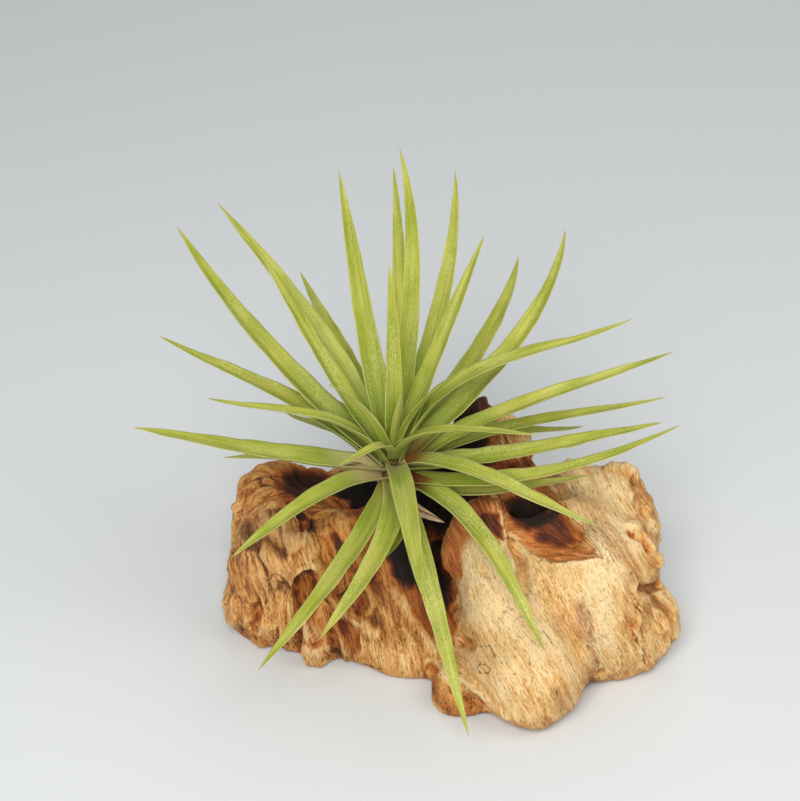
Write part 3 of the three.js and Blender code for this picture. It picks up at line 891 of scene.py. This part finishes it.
# Each row: a path of pixels, how far the mark reaches from it and how high it stands, in mm.
RAISED = [
    [[(239, 507)], 4, 3.5],  # thorn
    [[(252, 464), (264, 466)], 6, 2],
    [[(289, 545), (300, 540)], 7, 3],
    [[(303, 556)], 6, 2.5],
    [[(299, 570), (306, 564), (316, 564), (323, 572)], 3.5, 3],  # arched rim over the slot
    [[(272, 556), (284, 562)], 8, 1.5],
    [[(325, 600), (344, 612), (362, 622), (376, 634)], 5, 3.5],  # twisted strand
    [[(347, 588), (358, 582), (370, 590), (374, 604), (366, 614)], 3, 1.8],  # rim of the swirl
    [[(476, 506), (487, 502), (497, 508)], 7, 2.5],  # top of the front knob
    [[(453, 562), (453, 542), (462, 522)], 9, 4],  # its left flank
    [[(499, 512), (502, 530), (503, 544)], 3, 2],
    [[(678, 612)], 5, 3.5],  # nub on the right knob
    [[(656, 560), (658, 572), (658, 580)], 5, 2.5],  # tip of the hanging knot
    [[(630, 530), (640, 524), (654, 528)], 5, 2],
    [[(614, 468), (632, 474), (648, 486)], 6, 2],
    [[(262, 624), (280, 632)], 9, 2],
    [[(236, 600), (234, 618)], 6, 1.5],
    [[(640, 600), (636, 630), (640, 655)], 2.5, 1.2],
    [[(430, 664), (456, 682), (484, 699), (506, 714)], 5, 1.4],  # the front lobe's edge
    [[(396, 590), (416, 624), (434, 652)], 4, 1.6],  # crest beside the gully
    [[(309, 612), (313, 636), (317, 660)], 5, 3],  # stub
    [[(314, 648), (317, 656)], 7, 4],  # its foot
    [[(596, 554), (584, 540), (572, 520)], 4, 1.8],  # rim of the burnt pocket
    [[(547, 562), (570, 562), (592, 560)], 4, 1.5],
]
# Each row: a path of pixels.
HAIR_CRACKS = [
    [(542, 632), (552, 645), (565, 658), (576, 674), (578, 690), (576, 704)],
    [(586, 645), (596, 661), (600, 674), (599, 687)],
    [(482, 648), (492, 647), (495, 656), (503, 664), (511, 674), (516, 675), (516, 669)],
    [(479, 666), (482, 674), (490, 674), (492, 669), (486, 664), (479, 666)],
    [(314, 612), (312, 626), (306, 640)],
    [(272, 572), (268, 588), (273, 598), (282, 594), (287, 580), (280, 572), (272, 572)],
    [(262, 580), (266, 600), (262, 610)],
    [(364, 661), (372, 665), (381, 668)],
    [(345, 658), (352, 660), (360, 661)],
    [(626, 596), (634, 590), (646, 592), (652, 598)],
    [(640, 590), (636, 606), (640, 620), (636, 640), (642, 655)],
    [(520, 640), (530, 660), (532, 684)],
    [(556, 690), (562, 702), (560, 712)],
    [(338, 540), (346, 552), (352, 566)],
    [(506, 470), (512, 476), (520, 480)],
    [(616, 640), (622, 652), (620, 668)],
    [(244, 548), (240, 566), (246, 580)],
]
print("dug:", len(DUG), "raised:", len(RAISED), "hair cracks:", len(HAIR_CRACKS))

# %% [markdown]
# ## Wood: carving
# Weather takes the soft wood between the fibres and leaves ridges. Noise whose sign is dropped has sharp
# valleys, and one less that has sharp crests; stretched a little along the grain it turns into worn wood.
# Broad folds come first, then lumps and fibres, and everything moves along the surface's own normal.

# %% Noise along the grain
def crests(places, seed):
    """1 along sharp crests, down to -1 in the valleys between."""
    return 1 - 2 * np.abs(swells(places, seed))


def stretched(across, along, bend=0.0):
    """Grain places with swells across mm wide and along mm long, bent by slow noise."""
    return grain / np.array([across, across, along]) + bend * drift(swells, wood_points / 12, 61)


def torn(across, along, bend, patch, seed, low, high):
    """1 in splits along the grain, which come in patches some mm wide; 0 between them."""
    strength = 0.7 + 0.4 * swells(wood_points / patch, seed + 1)
    return soft_step(crests(stretched(across, along, bend), seed) * strength, low, high)


left, deep = -wood_points[:, 0], wood_points[:, 1]
rugged = soft_step(left, 0, 28) + 0.4 * soft_step(-left, 96, 114) + soft_step(deep, 24, 44)
rugged = 0.34 + 0.66 * np.clip(rugged, 0, 1)
print("share of the wood that is rugged:", round(float((rugged > 0.9).mean()), 2))

# %% Folds, lumps, fibres and splits pushed into the wood
folds = crests(stretched(17, 48, 0.3), 31)
knobs = crests(wood_points / 19 + 5, 38)
worn = crests(stretched(6.5, 17, 0.5), 32)
worn_fine = crests(stretched(3.2, 9, 0.5), 39)
lumps = rough_swells(wood_points / 13, 5, 35)
fibres = swells(stretched(1.9, 14, 0.3), 33) + 0.6 * swells(stretched(1.2, 8, 0.2), 34)
splits = torn(8, 30, 0.3, 18, 36, 0.74, 0.95)
small_splits = torn(4.5, 16, 0.4, 14, 40, 0.68, 0.92)
splits = np.maximum(splits, small_splits) * soft_step(rugged, 0.4, 0.8)
relief = rugged * (1.3 * folds + 0.6 * knobs + 1.3 * worn + 1.0 * worn_fine + 0.8 * lumps)
relief += (0.12 + 0.22 * rugged) * fibres - splits
print("relief from", round(relief.min(), 2), "to", round(relief.max(), 2), "mm")

# %% [markdown]
# The seat of the stem stays as the solid has it, and so does the foot that the wood stands on. The marks
# come on top of the relief.

# %% Everything pushed along the normals
SEAT_RADIUS, SEAT_EDGE = 9, 20
SEAT_TOP, SEAT_FOOT = 58, 40
dug = laid(DUG, 1.2, wood_points)
raised = laid(RAISED, 0.6, wood_points)
normals = numbers_of(wood_mesh.vertex_normals, "vector")
off_seat = soft_step(np.linalg.norm(wood_points[:, :2], axis=1), SEAT_RADIUS, SEAT_EDGE)
off_seat = np.clip(off_seat + soft_step(-wood_points[:, 2], -SEAT_TOP, -SEAT_FOOT), 0, 1)
push = relief * off_seat + raised - dug
push *= soft_step(wood_points[:, 2], -0.5, 4)
carved = wood_points + normals * push[:, None]
carved[:, 2] = np.maximum(carved[:, 2], 0)
wood_mesh.vertices.foreach_set("co", (carved * MM).ravel())
wood_mesh.update()
print("pushed by", round(push.min(), 2), "to", round(push.max(), 2), "mm")

# %% [markdown]
# ## Wood: where it is burnt, bleached, stained or shaded
# The colours follow the wood's history. The hollow was burnt out: black inside, then red brown, then a band
# of orange where the heat only toasted it. Pits and dug grooves get painted shade, and crests are rubbed
# pale.
# Every point gets these shares as numbers, and the shader breaks their edges up along the fibres.

# %% How burnt each point is, and how shaded its dug grooves are
def inside(points, centre, radii):
    """Below 1 inside an egg-shaped region, 1 on its skin."""
    return np.linalg.norm((points - np.array(centre)) / np.array(radii), axis=1)


# Each row: centre and radii in mm, and how far out, with the skin at 1, the burn starts to fade and ends.
BURNT_HOLLOWS = [
    [(6, 30, 84), (38, 21, 44), 0.95, 1.42],
    [(-36, 22, 84), (21, 15, 25), 0.8, 1.25],
    [(8, -14, 54), (12, 28, 22), 0.7, 1.12],
    [(66, -4, 76), (18, 12, 16), 0.5, 0.95],
]
# The black gully down the middle of the front, and the toasted wood that runs on below it.
GULLY = [
    (380, 522), (404, 540), (420, 566), (440, 556), (446, 592),
    (432, 604), (420, 593), (405, 570), (392, 545),
]
TOASTED_GULLY = [
    (382, 546), (394, 552), (414, 576), (446, 600), (456, 644),
    (442, 652), (422, 630), (406, 602), (390, 576),
]
# Each row: an outline of pixels, how soft its edge is in pixels, and how deep the burn is.
BURNT_PATCHES = [
    [POCKET, 3, 0.28],
    [[(520, 496), (547, 498), (564, 515), (582, 542), (560, 550), (534, 543)], 8, 0.6],
    [[(501, 500), (524, 492), (545, 498), (552, 514), (544, 530), (526, 532), (510, 520)], 9, 0.86],
    [[(478, 512), (489, 510), (499, 514), (503, 540), (492, 536), (482, 524)], 4, 0.56],
    [[(472, 504), (484, 500), (498, 503), (503, 512), (486, 512), (476, 516)], 4, 0.26],
    [GULLY, 7, 1.0],
    [TOASTED_GULLY, 7, 0.36],
    [[(279, 470), (300, 468), (328, 474), (330, 490), (300, 496), (284, 492)], 11, 0.8],
    [[(270, 474), (280, 472), (294, 492), (296, 506), (280, 506)], 6, 0.42],
    [[(338, 494), (352, 490), (372, 500), (374, 530), (362, 536), (350, 516)], 5, 0.42],
]
# Each row: a path of pixels, how far the burn reaches from it in mm, and how deep it is. The rows along
# dug grooves and slots are char and painted shade in those grooves together.
BURNT_AND_SHADED_LINES = [
    [[(457, 568), (457, 542), (465, 521), (479, 509), (498, 507)], 11, 0.36],  # crown of the front knob
    [[(441, 556), (446, 590), (452, 630)], 8, 0.36],
    [[(300, 500), (318, 506), (336, 512)], 9, 0.2],
    [[(240, 470), (262, 474), (280, 500)], 12, 0.16],
    [VALLEY, 7, 0.95],
    [SLOT, 8, 0.95],
    [[(336, 536), (341, 546)], 5, 0.62],
    [[(352, 590), (362, 600), (358, 612)], 5, 0.5],
    [[(342, 624), (350, 636), (354, 646)], 5, 0.55],
    [[(331, 634), (336, 654)], 3, 0.5],
    [[(300, 612), (298, 630), (302, 648)], 3.5, 0.7],
    [[(440, 530), (452, 520), (466, 512)], 9, 0.42],
    [[(441, 548), (438, 572), (442, 600)], 10, 0.85],
    [[(505, 520), (508, 530), (516, 548), (522, 572)], 2.5, 0.34],
    [[(461, 641), (474, 645)], 2.5, 0.6],
    [[(631, 534), (640, 539), (647, 546)], 3, 0.55],
    [[(432, 669), (456, 689), (484, 705), (508, 723)], 2, 0.3],
    [[(257, 610), (256, 626), (257, 642)], 3, 0.5],
    [[(312, 616), (314, 640), (316, 660)], 8, 0.34],
    [[(552, 462), (566, 457), (582, 456)], 8, 0.66],
    [[(460, 416), (478, 404), (520, 420)], 14, 0.72],
    [[(505, 464), (526, 466)], 10, 0.55],
]
# What the fire spared beside the hollows: outline, edge, and how much of the burn is taken away.
SPARED_PATCHES = [
    [[(298, 508), (318, 494), (350, 500), (352, 540), (322, 548), (304, 536)], 4, 0.9],
    [[(228, 452), (262, 456), (272, 480), (270, 510), (240, 540), (228, 500)], 4, 0.9],
]
EDGE_WANDER = 2.0  # how far the edge of a painted mark wanders, in mm
# The burn below is char in the burnt places and painted shade along the dug grooves.
burn_and_shade = np.zeros(len(carved))
ragged = 0.12 * rough_swells(carved / 8, 4, 41)
for centre, radii, fade_from, fade_to in BURNT_HOLLOWS:
    burn_and_shade = np.maximum(burn_and_shade, 1 - soft_step(inside(carved, centre, radii) + ragged, fade_from, fade_to))
outer_back = soft_step(normals[:, 1], 0.1, 0.5) * soft_step(deep, 44, 50)
burn_and_shade *= (1 - outer_back) * (1 - patches(SPARED_PATCHES, carved))
burn_and_shade = np.max([burn_and_shade, laid(BURNT_AND_SHADED_LINES, EDGE_WANDER, carved), patches(BURNT_PATCHES, carved)], axis=0)
print("share of the wood that is burnt:", round(float((burn_and_shade > 0.3).mean()), 3))

# %% Pale and brown places, and places stained with ochre
# The pale wood of the front lobe, and of the right one down to its foot.
FRONT_PALE = [(450, 546), (480, 540), (510, 556), (544, 610), (562, 650), (540, 662), (500, 632), (460, 624)]
RIGHT_PALE = [
    (560, 480), (600, 470), (640, 500), (630, 560), (606, 600),
    (612, 650), (588, 660), (578, 600), (560, 560),
]
LEFT_EDGE = [(236, 456), (262, 456), (282, 500), (262, 540), (252, 600), (252, 650), (226, 626), (224, 560)]
FRONT_FOOT = [(430, 672), (458, 692), (508, 724), (460, 730), (428, 696)]
RIGHT_EDGE = [(626, 470), (664, 480), (664, 590), (650, 590), (640, 540)]
# Each row: an outline of pixels, how soft its edge is in pixels, and how strong the tone or stain is.
PALE_PATCHES = [
    [FRONT_PALE, 9, 0.3],
    [RIGHT_PALE, 9, 0.22],
    [[(470, 640), (520, 640), (560, 690), (540, 726), (500, 712), (460, 680)], 10, 0.07],
    [[(594, 566), (610, 576), (612, 610), (618, 646), (604, 636), (592, 596)], 5, 0.3],
]
BROWN_PATCHES = [
    [LEFT_EDGE, 9, 0.11],
    [[(262, 500), (330, 500), (400, 600), (430, 670), (340, 670), (262, 650)], 12, 0.09],
    [[(224, 590), (300, 596), (304, 656), (228, 652)], 10, 0.07],
    [[(370, 590), (424, 620), (440, 684), (380, 680), (320, 650)], 8, 0.17],
    [[(520, 690), (600, 670), (604, 690), (560, 730), (510, 736)], 9, 0.14],
    [[(290, 640), (360, 660), (440, 672), (440, 700), (380, 690), (290, 660)], 8, 0.06],
    [FRONT_FOOT, 3, 0.3],
    [[(640, 580), (690, 590), (690, 640), (650, 680), (600, 690), (640, 640)], 8, 0.08],
    [RIGHT_EDGE, 7, 0.1],
]
OCHRE_PATCHES = [
    [[(220, 450), (300, 450), (330, 500), (346, 600), (340, 660), (220, 660)], 12, 0.9],
    [[(296, 490), (350, 484), (380, 520), (410, 590), (350, 600), (310, 550)], 10, 0.85],
    [FRONT_FOOT, 3, 0.6],
    [[(436, 520), (470, 505), (500, 512), (470, 540), (456, 560), (452, 640), (436, 640)], 8, 0.7],
    [[(630, 590), (690, 590), (690, 640), (650, 680), (620, 690)], 8, 0.5],
    [RIGHT_EDGE, 7, 0.4],
]
print("pale, brown and ochre patches:", len(PALE_PATCHES), len(BROWN_PATCHES), len(OCHRE_PATCHES))

# %% Rusty streaks and grey specks
# Each row: a path of pixels, how far the mark reaches from it in mm, and how strong it is.
RUSTY_PLACES = [
    [[(580, 606), (585, 622), (590, 640)], 6, 1.0],
    [[(588, 640), (592, 652), (596, 664)], 4, 0.9],
    [[(556, 620), (560, 636)], 6, 0.6],
    [[(604, 528), (614, 544), (626, 560), (636, 576)], 9, 0.8],
    [[(560, 480), (580, 500), (596, 520)], 10, 0.7],
    [[(560, 690), (562, 704)], 6, 0.8],
    [[(520, 556), (524, 580), (530, 596)], 6, 0.6],
]
SPECKLED_PLACES = [
    [[(469, 558), (480, 570), (491, 582)], 7, 0.7],
    [[(489, 580), (498, 594), (505, 606)], 4, 0.8],
    [[(509, 608), (518, 616), (525, 622)], 6, 0.9],
    [[(531, 584), (549, 598)], 6, 0.8],
    [[(597, 528), (604, 540), (612, 560)], 10, 0.9],
    [[(390, 600), (400, 620), (420, 650)], 12, 0.5],
    [[(640, 592), (655, 606)], 8, 0.8],
    [[(560, 620), (590, 640)], 9, 0.5],
    [[(240, 540), (250, 580)], 16, 0.5],
    [[(560, 470), (590, 500), (600, 530)], 10, 0.6],
    [[(540, 690), (556, 700)], 7, 0.5],
    [[(640, 500), (650, 540)], 10, 0.5],
]
print("rusty places:", len(RUSTY_PLACES), "speckled places:", len(SPECKLED_PLACES))

# %% [markdown]
# A point lies in a pit when its neighbours' average lies outside it, and on a crest when that lies inside.
# Few rounds of evening out find the fine pits and many find the broad ones. Pits get painted shade from
# this, and crests come out paler.

# %% How deep in a pit each point lies, for its painted shade, and how far from a hair crack
# A pit this deep gets the full painted shade.
FINE_ROUNDS, FINE_PIT = 10, 0.25  # rounds, and the depth in mm that counts as fully sheltered
BROAD_ROUNDS, BROAD_PIT = 140, 1.6


def pit_depth(rounds):
    """How far the evened wood lies outside each point, in mm."""
    return ((evened(carved, rounds) - carved) * carved_normals).sum(1)


carved_normals = numbers_of(wood_mesh.vertex_normals, "vector")
# Painted shade: how deep in a pit each point lies, up to 1; crests, below 0, come out paler as rubbed wood.
hidden = 0.35 * (pit_depth(FINE_ROUNDS) / FINE_PIT) + 0.6 * (pit_depth(BROAD_ROUNDS) / BROAD_PIT)
hidden = np.clip(hidden, -1, 1)
wavering = wood_points + 1.1 * drift(rough_swells, wood_points / 7, 81, layers=3)
crack_away = np.min([distance_from(path, wavering) for path in HAIR_CRACKS], axis=0)
print("share in pits:", round(float((hidden > 0.5).mean()), 2))

# %% The tone of the bare wood, and all the shares kept on the mesh
MIDDLE_TONE = 0.66
foot_share = 1 - soft_step(carved[:, 2], 1, 14)
uneven_tone = 0.5 * rough_swells(carved / 30, 3, 51) + 0.3 * swells(stretched(9, 40, 0.3), 52)
tone = MIDDLE_TONE - 0.07 * soft_step(left, -20, 20) + 0.25 * uneven_tone
tone += patches(PALE_PATCHES, carved) - patches(BROWN_PATCHES, carved) - 0.12 * foot_share
unseen_ochre = 0.5 * soft_step(left, 20, 60) + 0.35 * soft_step(deep, 20, 50)
unseen_ochre += 0.4 * (1 - soft_step(carved[:, 2], 0, 14))
ochre = 0.15 + np.maximum(unseen_ochre, patches(OCHRE_PATCHES, carved)) + 0.4 * uneven_tone
specks_here = laid(SPECKLED_PLACES, EDGE_WANDER, carved)
rust_here = laid(RUSTY_PLACES, EDGE_WANDER, carved)
shares = {
    "grain": grain,
    "burn_shade_tone_specks": np.column_stack([burn_and_shade, tone, specks_here]),
    "pit_shade_and_cracks": np.column_stack([hidden, splits, crack_away]),
    "stains": np.column_stack([np.clip(ochre, 0, 1), rust_here, rugged]),
}
keep(wood_mesh, shares)
print("tone runs from", round(float(tone.min()), 2), "to", round(float(tone.max()), 2))

# %% [markdown]
# ## Wood: its colour
# Bare weathered wood is never one brown. Cream, tan and ochre lie side by side in streaks that follow the
# fibres, with dark pores and hair cracks between; crests are pale and pits and hollows are darkened with
# painted shade. So one number, the tone, runs through a ramp of wood colours, and a second, the burn,
# through a ramp of burnt ones; in dug grooves the burn also stands for painted shade. Roughness changes too:
# it varies with the fibres, and char is more matte than bare wood.

# %% The noises of the wood
wood_paint = Paint("weathered driftwood")
*_, grain_vector = wood_paint.kept("grain")
burn_and_shade_share, tone_share, speckle_share, _ = wood_paint.kept("burn_shade_tone_specks")
pit_shade_share, split_share, crack_distance, _ = wood_paint.kept("pit_shade_and_cracks")
ochre_share, rust_share, rugged_share, _ = wood_paint.kept("stains")


def along_grain(across, along, detail, roughness):
    """Noise stretched along the grain: how many swells fit in a mm across and along."""
    return wood_paint.uneven(wood_paint.scaled(grain_vector, (across, across, along)), detail, roughness)


streaks = along_grain(0.22, 0.035, 4, 0.6)
threads = along_grain(1.3, 0.08, 3, 0.65)
hairs = along_grain(2.6, 0.22, 2, 0.7)
pores = along_grain(1.9, 0.5, 2, 0.6)
specks = along_grain(1.7, 0.32, 2, 0.6)
pits = along_grain(0.34, 0.2, 3, 0.6).rise(0.64, 0.7)

GRAINS_PER_METRE = 700
wood_place = wood_paint.node("ShaderNodeTexCoord", output=3)  # the point itself, in metres
grit = wood_paint.uneven(wood_paint.scaled(wood_place, (GRAINS_PER_METRE,) * 3), detail=4, roughness=0.7)
print("noises:", len(wood_paint.tree.nodes), "nodes")

# %% Bare wood, from dark brown to cream
WOOD_RAMP = [
    (0.0, colour(74, 42, 20)),
    (0.2, colour(132, 80, 34)),
    (0.38, colour(176, 114, 50)),
    (0.56, colour(210, 156, 86)),
    (0.74, colour(231, 190, 123)),
    (1.0, colour(247, 221, 168)),
]
OCHRE_STAIN = colour(224, 184, 134)
PORE_BROWN = colour(120, 74, 38)
RUSTY_BROWN = colour(146, 84, 42)
SPECK_GREY = colour(96, 80, 60)
bands = streaks.rise(0.4, 0.52) * 0.16 - (1 - streaks.rise(0.3, 0.42)) * 0.12
fibre_tone = ((threads - 0.5) * 0.85 + (hairs - 0.5) * 0.85) * (0.8 + rugged_share * 0.5)
fine_tone = bands - 0.08 + fibre_tone + (grit - 0.5) * (0.3 + rugged_share * 0.4)
# Painted shade darkens hollows and the small pits of the rugged wood; crests, rubbed by wear, come out
# paler.
pit_shade = pit_shade_share * (0.2 + rugged_share * 0.1) + pits * rugged_share.rise(0.7, 1) * 0.15
full_tone = tone_share + fine_tone - pit_shade
wood = wood_paint.node("ShaderNodeValToRGB", {"stops": WOOD_RAMP}, {"Fac": full_tone})
wood = wood_paint.shade(ochre_share, wood, OCHRE_STAIN)
wood = wood_paint.blend(pores.rise(0.62, 0.7) * (0.4 + rugged_share * 0.2), wood, PORE_BROWN)
rusty = (threads * 0.5 + hairs * 0.5 + rust_share * 0.07).rise(0.49, 0.58) * rust_share
wood = wood_paint.blend(rusty * 0.8, wood, RUSTY_BROWN)
grey_specks = (specks + speckle_share * 0.06).rise(0.6, 0.68) * speckle_share
wood = wood_paint.blend(grey_specks * 0.7, wood, SPECK_GREY)
print("bare wood:", len(wood_paint.tree.nodes), "nodes")

# %% Burnt wood, painted shade in the dug grooves, and cracks over it, and how rough and how deep it all is
BURN_AND_SHADE_RAMP = [
    (0.0, colour(222, 168, 102)),
    (0.25, colour(196, 120, 52)),
    (0.45, colour(140, 68, 26)),
    (0.62, colour(84, 38, 18)),
    (0.8, colour(42, 24, 14)),
    (1.0, colour(20, 15, 11)),
]
CRACK_BROWN = colour(66, 38, 20)
ragged_burn_and_shade = ((threads - 0.5) * 0.7 + (streaks - 0.5) * 0.5) * burn_and_shade_share.rise(0.02, 0.2)
burn_and_shade_depth = burn_and_shade_share + ragged_burn_and_shade
burnt_and_shaded = wood_paint.node("ShaderNodeValToRGB", {"stops": BURN_AND_SHADE_RAMP}, {"Fac": burn_and_shade_depth})
wood = wood_paint.blend(burn_and_shade_depth.rise(0.1, 0.3), wood, burnt_and_shaded)
hair_crack = 1 - (crack_distance + (hairs - 0.5) * 0.7 + (streaks - 0.5) * 0.9).rise(0.1, 0.5)
wood = wood_paint.blend((split_share * 0.78).most(hair_crack * 0.62), wood, CRACK_BROWN)
wood_paint.surface(
    Base_Color=wood,
    Roughness=0.5 + threads * 0.25 + burn_and_shade_share * 0.1,
    Specular_IOR_Level=0.4,
)
ridges = threads * 0.5 + hairs * 0.3 + grit * (0.2 + rugged_share * 0.4)
dents = pores.rise(0.58, 0.7) * 0.25 + hair_crack * 0.6 + pits * 0.2
wood_paint.relief(ridges - dents, depth=1.5 * MM)
print("driftwood skin:", len(wood_paint.tree.nodes), "nodes")

# %% The wood takes its place
wood_mesh.materials.clear()
wood_mesh.materials.append(wood_paint.material)
wood_mesh.shade_smooth()
wood_mesh.name = "driftwood_carved"
driftwood = bpy.data.objects.new("driftwood_carved", wood_mesh)
bpy.context.scene.collection.objects.link(driftwood)
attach(driftwood, "root")
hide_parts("driftwood")
print("driftwood:", len(wood_mesh.polygons), "faces")

# %% [markdown]
# ## Stem
# The short stem is hidden by the feet of its leaves. What can be glimpsed between them is the brown,
# fibrous rest of older sheaths, so the solid keeps its shape and gets a finish of vertical fibres.

# %% The stem's finish
SHEATH_DARK = colour(48, 32, 20)
SHEATH_PALE = colour(132, 104, 70)
FIBRES_PER_METRE = (1500, 1500, 90)
stem_paint = Paint("old sheaths")
stem_place = stem_paint.node("ShaderNodeTexCoord", output=3)
stem_fibres = stem_paint.uneven(stem_paint.scaled(stem_place, FIBRES_PER_METRE))
stem_brown = stem_paint.blend(stem_fibres.rise(0.35, 0.65), SHEATH_DARK, SHEATH_PALE)
stem_paint.surface(Base_Color=stem_brown, Roughness=0.9, Specular_IOR_Level=0.2)
stem_paint.relief(stem_fibres, depth=0.5 * MM, strength=0.9)
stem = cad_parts["stem"]
stem.data.materials.clear()
stem.data.materials.append(stem_paint.material)
print("stem:", len(stem_paint.tree.nodes), "nodes")
